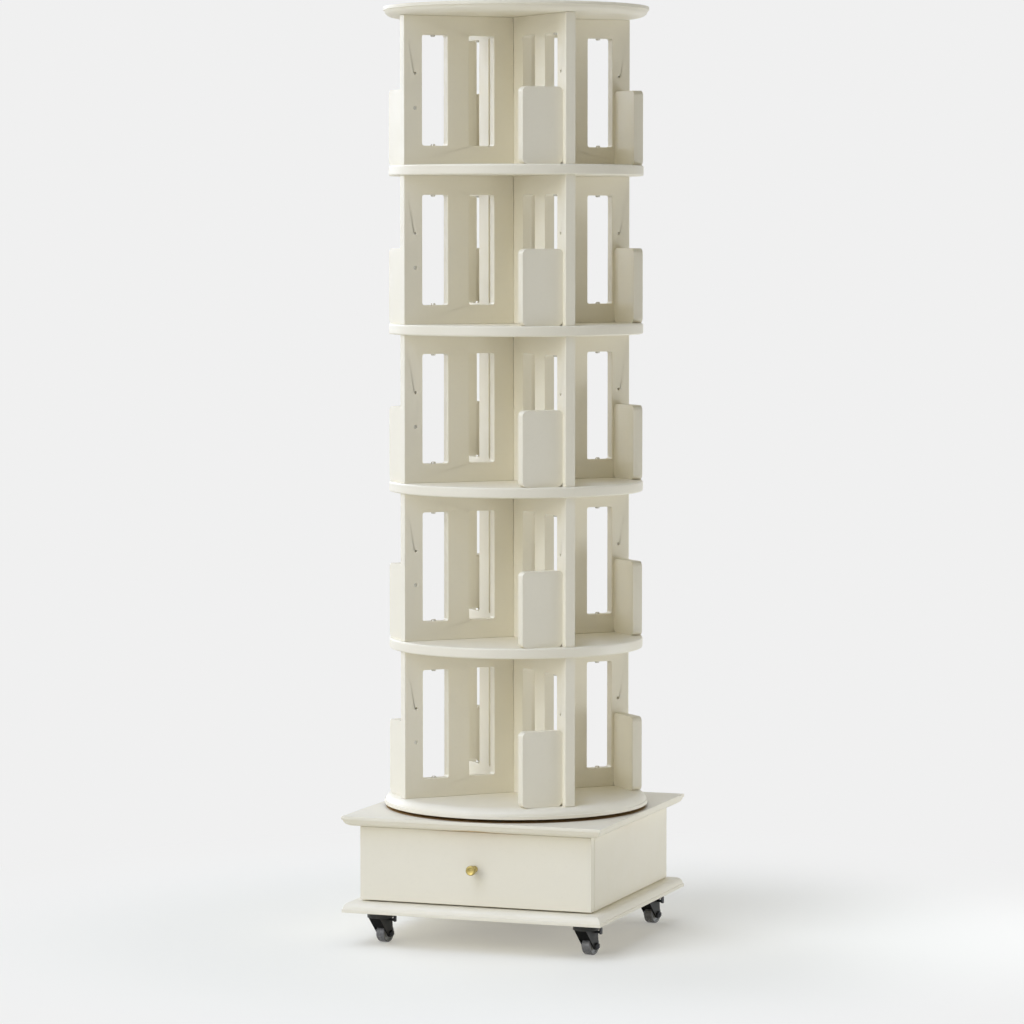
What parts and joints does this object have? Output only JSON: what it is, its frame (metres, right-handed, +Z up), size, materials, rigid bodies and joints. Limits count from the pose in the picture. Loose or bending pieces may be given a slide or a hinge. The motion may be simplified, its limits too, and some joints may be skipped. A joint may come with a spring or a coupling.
{
  "type": "revolving bookcase tower",
  "caption": "Floor-standing revolving bookcase: round shelves on crossed windowed boards, turning on a square drawer base with braked swivel casters.",
  "frame": {"origin": "centre of the base's footprint on the floor, straight under the turntable's axis", "axes": "+Z up along the tower's turning axis; the drawer opens towards -Y; +X is the right-hand side as seen from the drawer's front"},
  "size_m": [0.47, 0.47, 1.616],
  "materials": {
    "cream_paint": "satin cream paint on smooth fibreboard",
    "bright_steel": "zinc-plated steel",
    "ring_aluminium": "turned aluminium",
    "knob_brass": "aged brass, lacquered",
    "black_steel": "black powder coat",
    "axle_steel": "blackened steel",
    "wheel_grey": "moulded grey nylon",
    "brake_black": "moulded black nylon"
  },
  "bodies": {
    "base": {"base_bottom_plate": "cream_paint", "base_top_plate": "cream_paint", "case_side_left": "cream_paint", "case_side_right": "cream_paint", "case_back": "cream_paint", "case_slides": "bright_steel", "turntable_lower_ring": "ring_aluminium", "turntable_balls": "bright_steel", "turntable_lower_screws": "bright_steel", "caster_pads": "black_steel", "caster_screws": "bright_steel"},
    "drawer": {"drawer_front": "cream_paint", "drawer_side_left": "cream_paint", "drawer_side_right": "cream_paint", "drawer_back": "cream_paint", "drawer_bottom": "cream_paint", "drawer_knob": "knob_brass", "drawer_slides": "bright_steel", "drawer_screws": "bright_steel"},
    "tower": {"turntable_upper_ring": "ring_aluminium", "turntable_upper_screws": "bright_steel", "bottom_disc": "cream_paint", "shelf_1": "cream_paint", "shelf_2": "cream_paint", "shelf_3": "cream_paint", "shelf_4": "cream_paint", "top_disc": "cream_paint", "tier_1_board_a": "cream_paint", "tier_1_board_b": "cream_paint", "tier_1_book_stops": "cream_paint", "tier_2_board_a": "cream_paint", "tier_2_board_b": "cream_paint", "tier_2_book_stops": "cream_paint", "tier_3_board_a": "cream_paint", "tier_3_board_b": "cream_paint", "tier_3_book_stops": "cream_paint", "tier_4_board_a": "cream_paint", "tier_4_board_b": "cream_paint", "tier_4_book_stops": "cream_paint", "tier_5_board_a": "cream_paint", "tier_5_board_b": "cream_paint", "tier_5_book_stops": "cream_paint", "tie_bolts": "bright_steel", "book_stop_screws": "bright_steel"},
    "caster_front_left_swivel": {"caster_front_left_fork": "black_steel", "caster_front_left_axle": "axle_steel"},
    "caster_front_left_roller": {"caster_front_left_wheel": "wheel_grey"},
    "caster_front_left_lock": {"caster_front_left_brake": "brake_black"},
    "caster_rear_left_swivel": {"caster_rear_left_fork": "black_steel", "caster_rear_left_axle": "axle_steel"},
    "caster_rear_left_roller": {"caster_rear_left_wheel": "wheel_grey"},
    "caster_rear_left_lock": {"caster_rear_left_brake": "brake_black"},
    "caster_front_right_swivel": {"caster_front_right_fork": "black_steel", "caster_front_right_axle": "axle_steel"},
    "caster_front_right_roller": {"caster_front_right_wheel": "wheel_grey"},
    "caster_front_right_lock": {"caster_front_right_brake": "brake_black"},
    "caster_rear_right_swivel": {"caster_rear_right_fork": "black_steel", "caster_rear_right_axle": "axle_steel"},
    "caster_rear_right_roller": {"caster_rear_right_wheel": "wheel_grey"},
    "caster_rear_right_lock": {"caster_rear_right_brake": "brake_black"}
  },
  "joints": [
    {"name": "tower_turn", "type": "hinge", "parent": "base", "child": "tower", "pos_m": [0, 0, 0.229], "axis": [0, 0, 1], "continuous": true},
    {"name": "drawer_slide", "type": "slide", "parent": "base", "child": "drawer", "axis": [0, -1, 0], "range_m": [0, 0.25]},
    {"name": "caster_front_left_turn", "type": "hinge", "parent": "base", "child": "caster_front_left_swivel", "pos_m": [-0.188, -0.172, 0.055], "axis": [0, 0, 1], "continuous": true},
    {"name": "caster_front_left_roll", "type": "hinge", "parent": "caster_front_left_swivel", "child": "caster_front_left_roller", "pos_m": [-0.18461, -0.15842, 0.016], "axis": [-0.9703, 0.2419, 0], "continuous": true},
    {"name": "caster_front_left_brake_press", "type": "hinge", "parent": "caster_front_left_swivel", "child": "caster_front_left_lock", "pos_m": [-0.18485, -0.15939, 0.0405], "axis": [-0.9703, 0.2419, 0], "range_deg": [0, 90]},
    {"name": "caster_rear_left_turn", "type": "hinge", "parent": "base", "child": "caster_rear_left_swivel", "pos_m": [-0.188, 0.172, 0.055], "axis": [0, 0, 1], "continuous": true},
    {"name": "caster_rear_left_roll", "type": "hinge", "parent": "caster_rear_left_swivel", "child": "caster_rear_left_roller", "pos_m": [-0.18461, 0.18558, 0.016], "axis": [-0.9703, 0.2419, 0], "continuous": true},
    {"name": "caster_rear_left_brake_press", "type": "hinge", "parent": "caster_rear_left_swivel", "child": "caster_rear_left_lock", "pos_m": [-0.18485, 0.18461, 0.0405], "axis": [-0.9703, 0.2419, 0], "range_deg": [0, 90]},
    {"name": "caster_front_right_turn", "type": "hinge", "parent": "base", "child": "caster_front_right_swivel", "pos_m": [0.188, -0.172, 0.055], "axis": [0, 0, 1], "continuous": true},
    {"name": "caster_front_right_roll", "type": "hinge", "parent": "caster_front_right_swivel", "child": "caster_front_right_roller", "pos_m": [0.19139, -0.15842, 0.016], "axis": [-0.9703, 0.2419, 0], "continuous": true},
    {"name": "caster_front_right_brake_press", "type": "hinge", "parent": "caster_front_right_swivel", "child": "caster_front_right_lock", "pos_m": [0.19115, -0.15939, 0.0405], "axis": [-0.9703, 0.2419, 0], "range_deg": [0, 90]},
    {"name": "caster_rear_right_turn", "type": "hinge", "parent": "base", "child": "caster_rear_right_swivel", "pos_m": [0.188, 0.172, 0.055], "axis": [0, 0, 1], "continuous": true},
    {"name": "caster_rear_right_roll", "type": "hinge", "parent": "caster_rear_right_swivel", "child": "caster_rear_right_roller", "pos_m": [0.19139, 0.18558, 0.016], "axis": [-0.9703, 0.2419, 0], "continuous": true},
    {"name": "caster_rear_right_brake_press", "type": "hinge", "parent": "caster_rear_right_swivel", "child": "caster_rear_right_lock", "pos_m": [0.19115, 0.18461, 0.0405], "axis": [-0.9703, 0.2419, 0], "range_deg": [0, 90]}
  ]
}
